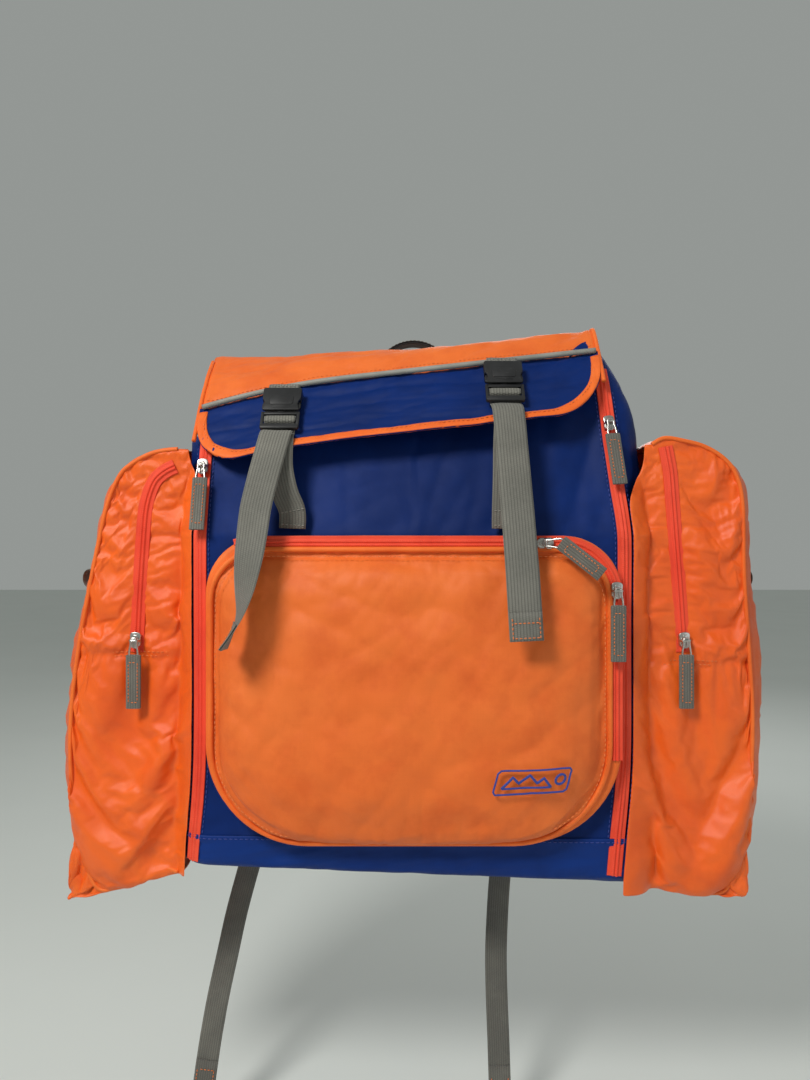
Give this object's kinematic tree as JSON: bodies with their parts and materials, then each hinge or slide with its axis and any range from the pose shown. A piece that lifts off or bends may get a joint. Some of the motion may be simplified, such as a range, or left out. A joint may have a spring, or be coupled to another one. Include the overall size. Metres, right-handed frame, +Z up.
{
  "type": "travel backpack",
  "caption": "Top-loading fabric travel backpack with a buckled lid, zipped front and side pockets, and shoulder straps, hanging from its haul loop.",
  "frame": {"origin": "the point inside the top of the haul loop where a hook bears", "axes": "+Z up as the bag hangs, the front of the bag faces -Y, the shoulder straps are on the +Y side, +X to the right as seen from the front"},
  "size_m": [0.6066, 0.1975, 0.6932],
  "materials": {
    "blue_fabric": "satin woven nylon",
    "orange_fabric": "woven polyester with a soft sheen",
    "zip_tape": "woven coral zip tape with a nylon coil",
    "grey_webbing": "ribbed woven webbing",
    "black_webbing": "ribbed woven webbing",
    "grey_piping": "reflective piping",
    "black_plastic": "moulded acetal with a fine grain",
    "silver_metal": "plated zinc",
    "foam": "closed-cell foam board",
    "padding": "air mesh over soft foam"
  },
  "bodies": {
    "bag": {"front_panel": "blue_fabric", "left_gusset": "blue_fabric", "right_gusset": "blue_fabric", "back_panel": "blue_fabric", "base_panel": "blue_fabric", "yoke": "blue_fabric", "collar": "blue_fabric", "collar_eyelets": "silver_metal", "back_foam": "foam", "back_pads": "padding", "left_side_zip": "zip_tape", "right_side_zip": "zip_tape", "front_pocket_face": "orange_fabric", "front_pocket_gusset": "orange_fabric", "front_pocket_zip": "zip_tape", "front_pocket_piping": "orange_fabric", "badge": "blue_fabric", "left_pocket": "orange_fabric", "right_pocket": "orange_fabric", "left_pocket_zip": "zip_tape", "right_pocket_zip": "zip_tape", "gear_tabs": "grey_webbing", "haul_loop": "black_webbing", "left_shoulder_strap": "padding", "right_shoulder_strap": "padding", "left_ladder_lock": "black_plastic", "right_ladder_lock": "black_plastic", "lower_webs": "grey_webbing", "left_strap_tail": "grey_webbing", "right_strap_tail": "grey_webbing", "lid_back": "orange_fabric"},
    "lid": {"lid_panel": "orange_fabric", "lid_lip": "blue_fabric", "lid_piping": "grey_piping", "lid_binding": "orange_fabric", "buckle_tabs": "grey_webbing", "left_buckle_socket": "black_plastic", "right_buckle_socket": "black_plastic"},
    "left_strap": {"left_anchor_strap": "grey_webbing"},
    "left_plug": {"left_buckle_plug": "black_plastic"},
    "left_outer_arm": {"left_arm_outer": "black_plastic"},
    "left_inner_arm": {"left_arm_inner": "black_plastic"},
    "left_tail": {"left_lid_tail": "grey_webbing"},
    "right_strap": {"right_anchor_strap": "grey_webbing"},
    "right_plug": {"right_buckle_plug": "black_plastic"},
    "right_outer_arm": {"right_arm_outer": "black_plastic"},
    "right_inner_arm": {"right_arm_inner": "black_plastic"},
    "right_tail": {"right_lid_tail": "grey_webbing"},
    "pocket_slider_a": {"pocket_slider_a": "silver_metal"},
    "pocket_pull_a": {"pocket_pull_a": "silver_metal"},
    "pocket_slider_b": {"pocket_slider_b": "silver_metal"},
    "pocket_pull_b": {"pocket_pull_b": "silver_metal"},
    "left_pocket_slider": {"left_pocket_slider": "silver_metal"},
    "left_pocket_pull": {"left_pocket_pull": "silver_metal"},
    "right_pocket_slider": {"right_pocket_slider": "silver_metal"},
    "right_pocket_pull": {"right_pocket_pull": "silver_metal"},
    "left_side_slider": {"left_side_slider": "silver_metal"},
    "left_side_pull": {"left_side_pull": "silver_metal"},
    "right_side_slider": {"right_side_slider": "silver_metal"},
    "right_side_pull": {"right_side_pull": "silver_metal"}
  },
  "joints": [
    {"name": "lid_hinge", "type": "hinge", "parent": "bag", "child": "lid", "pos_m": [-0.013, -0.0205, -0.0141], "axis": [-1, 0, 0], "range_deg": [0, 90]},
    {"name": "left_strap_swing", "type": "hinge", "parent": "bag", "child": "left_strap", "pos_m": [-0.108, -0.123, -0.178], "axis": [1, 0, 0], "range_deg": [0, 145], "deforming": ["left_anchor_strap"]},
    {"name": "left_buckle_release", "type": "slide", "parent": "left_strap", "child": "left_plug", "axis": [0, -0.575, -0.8181], "range_m": [0, 0.018]},
    {"name": "left_tail_hang", "type": "hinge", "parent": "left_plug", "child": "left_tail", "pos_m": [-0.108, -0.11177, -0.08719], "axis": [-1, 0, 0], "range_deg": [0, 145], "deforming": ["left_lid_tail"]},
    {"name": "left_outer_arm_squeeze", "type": "hinge", "parent": "left_plug", "child": "left_outer_arm", "pos_m": [-0.1192, -0.10637, -0.0795], "axis": [0, 0.8181, -0.575], "range_deg": [0, 11], "stiffness_Nm_per_rad": 0.05},
    {"name": "left_inner_arm_squeeze", "type": "hinge", "parent": "left_plug", "child": "left_inner_arm", "pos_m": [-0.0968, -0.10637, -0.0795], "axis": [0, -0.8181, 0.575], "range_deg": [0, 11], "stiffness_Nm_per_rad": 0.05},
    {"name": "right_strap_swing", "type": "hinge", "parent": "bag", "child": "right_strap", "pos_m": [0.072, -0.123, -0.178], "axis": [1, 0, 0], "range_deg": [0, 145], "deforming": ["right_anchor_strap"]},
    {"name": "right_buckle_release", "type": "slide", "parent": "right_strap", "child": "right_plug", "axis": [0, -0.575, -0.8181], "range_m": [0, 0.018]},
    {"name": "right_tail_hang", "type": "hinge", "parent": "right_plug", "child": "right_tail", "pos_m": [0.072, -0.11177, -0.06514], "axis": [-1, 0, 0], "range_deg": [0, 145], "deforming": ["right_lid_tail"]},
    {"name": "right_outer_arm_squeeze", "type": "hinge", "parent": "right_plug", "child": "right_outer_arm", "pos_m": [0.0832, -0.10637, -0.05745], "axis": [0, -0.8181, 0.575], "range_deg": [0, 11], "stiffness_Nm_per_rad": 0.05},
    {"name": "right_inner_arm_squeeze", "type": "hinge", "parent": "right_plug", "child": "right_inner_arm", "pos_m": [0.0608, -0.10637, -0.05745], "axis": [0, 0.8181, -0.575], "range_deg": [0, 11], "stiffness_Nm_per_rad": 0.05},
    {"name": "pocket_slider_a_run", "type": "slide", "parent": "bag", "child": "pocket_slider_a", "axis": [-1, 0, 0], "range_m": [0, 0.19]},
    {"name": "pocket_pull_a_flip", "type": "hinge", "parent": "pocket_slider_a", "child": "pocket_pull_a", "pos_m": [0.1, -0.1393, -0.1845], "axis": [0, 0, -1], "range_deg": [0, 60]},
    {"name": "pocket_slider_b_run", "type": "slide", "parent": "bag", "child": "pocket_slider_b", "axis": [0, 0, -1], "range_m": [0, 0.12]},
    {"name": "pocket_pull_b_flip", "type": "hinge", "parent": "pocket_slider_b", "child": "pocket_pull_b", "pos_m": [0.1555, -0.1393, -0.221], "axis": [-1, 0, 0], "range_deg": [0, 90]},
    {"name": "left_pocket_slider_run", "type": "slide", "parent": "bag", "child": "left_pocket_slider", "axis": [0.0568, 0, 0.9984], "range_m": [0, 0.108]},
    {"name": "left_pocket_pull_flip", "type": "hinge", "parent": "left_pocket_slider", "child": "left_pocket_pull", "pos_m": [-0.226, -0.1091, -0.263], "axis": [-1, 0, 0], "range_deg": [0, 90]},
    {"name": "right_pocket_slider_run", "type": "slide", "parent": "bag", "child": "right_pocket_slider", "axis": [-0.073, 0, 0.9973], "range_m": [0, 0.108]},
    {"name": "right_pocket_pull_flip", "type": "hinge", "parent": "right_pocket_slider", "child": "right_pocket_pull", "pos_m": [0.218, -0.1091, -0.263], "axis": [-1, 0, 0], "range_deg": [0, 90]},
    {"name": "left_side_slider_run", "type": "slide", "parent": "bag", "child": "left_side_slider", "axis": [0, -0.2664, -0.9639], "range_m": [0, 0.046]},
    {"name": "left_side_pull_flip", "type": "hinge", "parent": "left_side_slider", "child": "left_side_pull", "pos_m": [-0.171, -0.11185, -0.1216], "axis": [-1, 0, 0], "range_deg": [0, 90]},
    {"name": "right_side_slider_run", "type": "slide", "parent": "bag", "child": "right_side_slider", "axis": [0.0767, -0.2656, -0.961], "range_m": [0, 0.084]},
    {"name": "right_side_pull_flip", "type": "hinge", "parent": "right_side_slider", "child": "right_side_pull", "pos_m": [0.15879, -0.1018, -0.08524], "axis": [-0.9971, -0.0204, -0.0739], "range_deg": [0, 90]}
  ],
  "couplings": [
    {"joint": "left_strap_swing", "follows": "lid_hinge", "ratio": 1.6},
    {"joint": "left_tail_hang", "follows": "lid_hinge", "ratio": 1.6},
    {"joint": "left_inner_arm_squeeze", "follows": "left_outer_arm_squeeze", "ratio": 1},
    {"joint": "right_strap_swing", "follows": "lid_hinge", "ratio": 1.6},
    {"joint": "right_tail_hang", "follows": "lid_hinge", "ratio": 1.6},
    {"joint": "right_inner_arm_squeeze", "follows": "right_outer_arm_squeeze", "ratio": 1}
  ]
}
